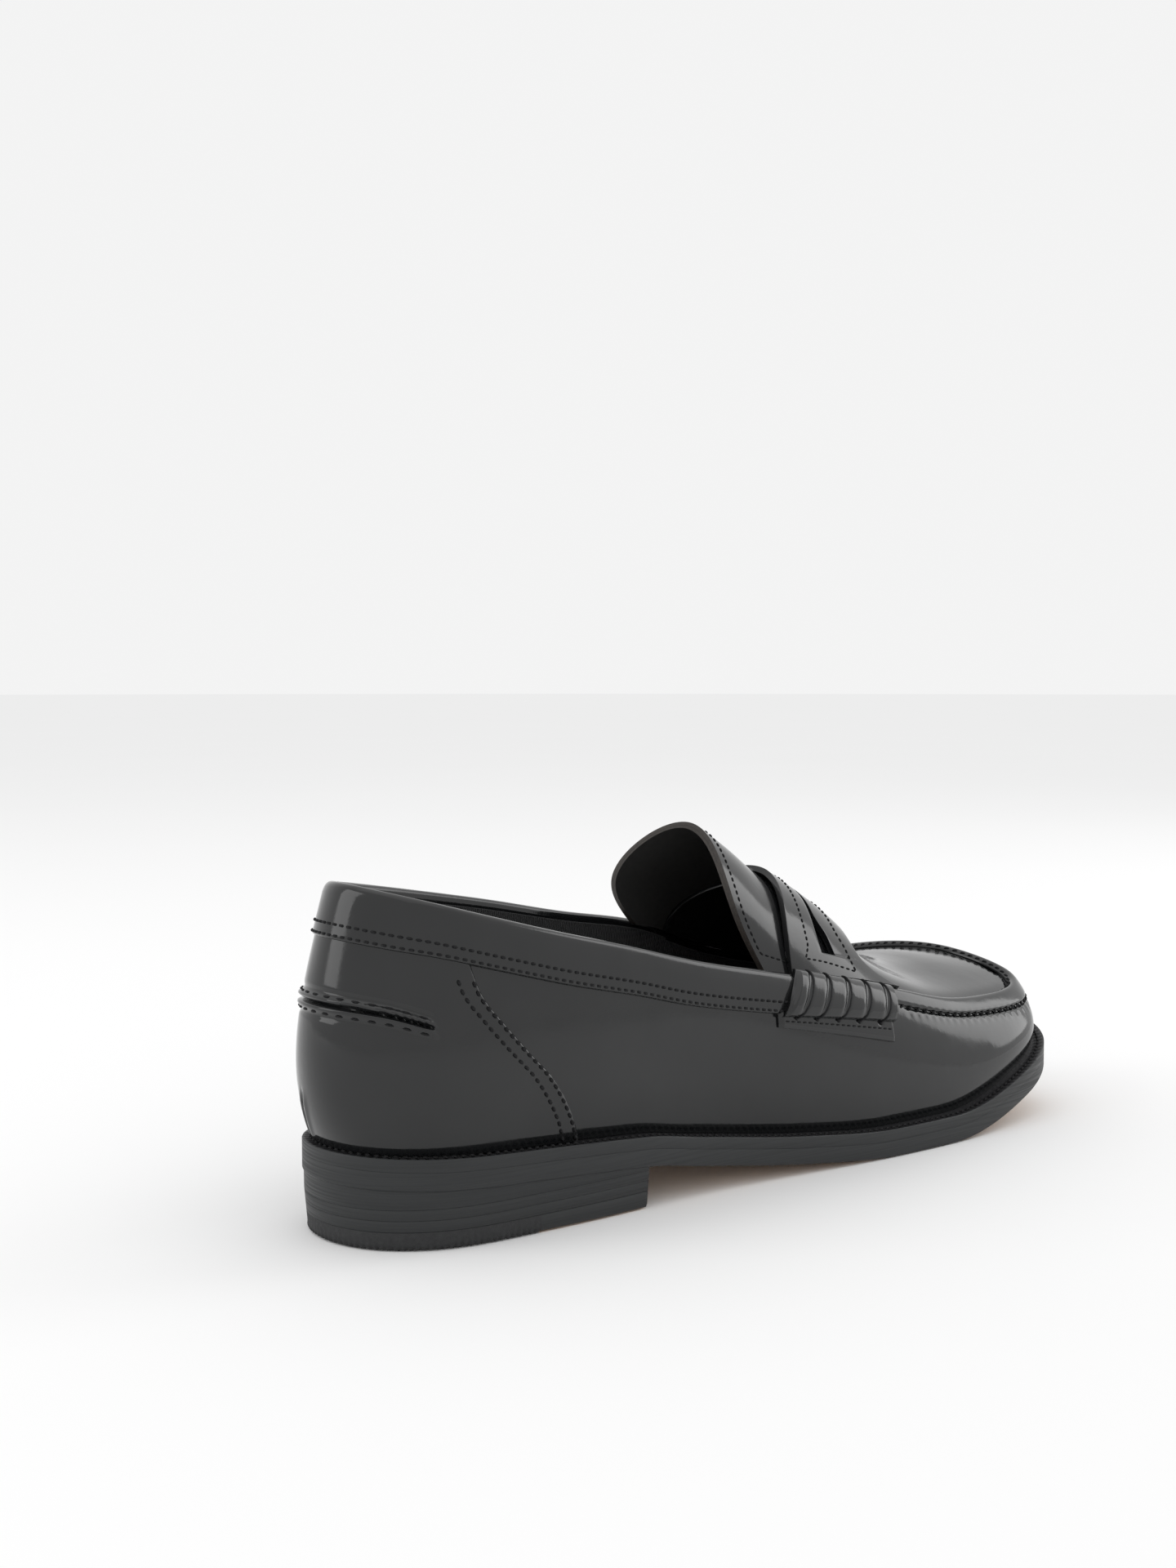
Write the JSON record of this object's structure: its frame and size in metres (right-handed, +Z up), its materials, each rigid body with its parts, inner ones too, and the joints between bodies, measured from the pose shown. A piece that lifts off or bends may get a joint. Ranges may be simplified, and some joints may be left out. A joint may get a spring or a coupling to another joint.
{
  "type": "penny loafer",
  "caption": "Slip-on leather shoe for the right foot, with a stacked heel, a stitched welt, a slotted saddle strap with rolled ends, and a springy tongue flap.",
  "frame": {"origin": "Bottom centre of the box round the whole shoe, on the ground.", "axes": "+X from the heel to the toe, +Y from the lateral (outer) to the medial (inner) side, +Z up."},
  "size_m": [0.3016, 0.0958, 0.106],
  "materials": {
    "gloss_leather": "high-gloss polished",
    "lining_leather": "matte",
    "lining_textile": "ribbed",
    "edge_leather": "burnished, satin",
    "sole_leather": "natural, satin",
    "heel_rubber": "matte",
    "fibreboard": "matte",
    "cork": "matte",
    "steel": "brushed",
    "brass": "satin"
  },
  "bodies": {
    "shoe": {"outsole": "sole_leather", "welt": "edge_leather", "cork_filler": "cork", "shank": "steel", "insole": "fibreboard", "sock_lining": "lining_leather", "top_piece_rubber": "heel_rubber", "top_piece_leather": "sole_leather", "heel_lift_1": "edge_leather", "heel_lift_2": "edge_leather", "heel_wedge": "edge_leather", "heel_pin_1": "brass", "heel_pin_2": "brass", "heel_pin_3": "brass", "heel_pin_4": "brass", "heel_pin_5": "brass", "heel_pin_6": "brass", "heel_panel": "gloss_leather", "vamp": "gloss_leather", "collar_band": "gloss_leather", "apron": "gloss_leather", "saddle_strap": "gloss_leather", "beef_roll_lateral": "gloss_leather", "beef_roll_medial": "gloss_leather", "strap_tab_lateral": "gloss_leather", "strap_tab_medial": "gloss_leather", "heel_counter": "fibreboard", "toe_puff": "fibreboard", "quarter_lining": "lining_textile", "vamp_lining": "lining_textile", "apron_lining": "lining_textile"},
    "tongue": {"tongue": "gloss_leather", "tongue_lining": "lining_leather"}
  },
  "joints": [
    {"name": "tongue_flex", "type": "hinge", "parent": "shoe", "child": "tongue", "pos_m": [0.02242, -0.0013, 0.08534], "axis": [0, 1, 0], "range_deg": [0, 8], "stiffness_Nm_per_rad": 0.1}
  ]
}
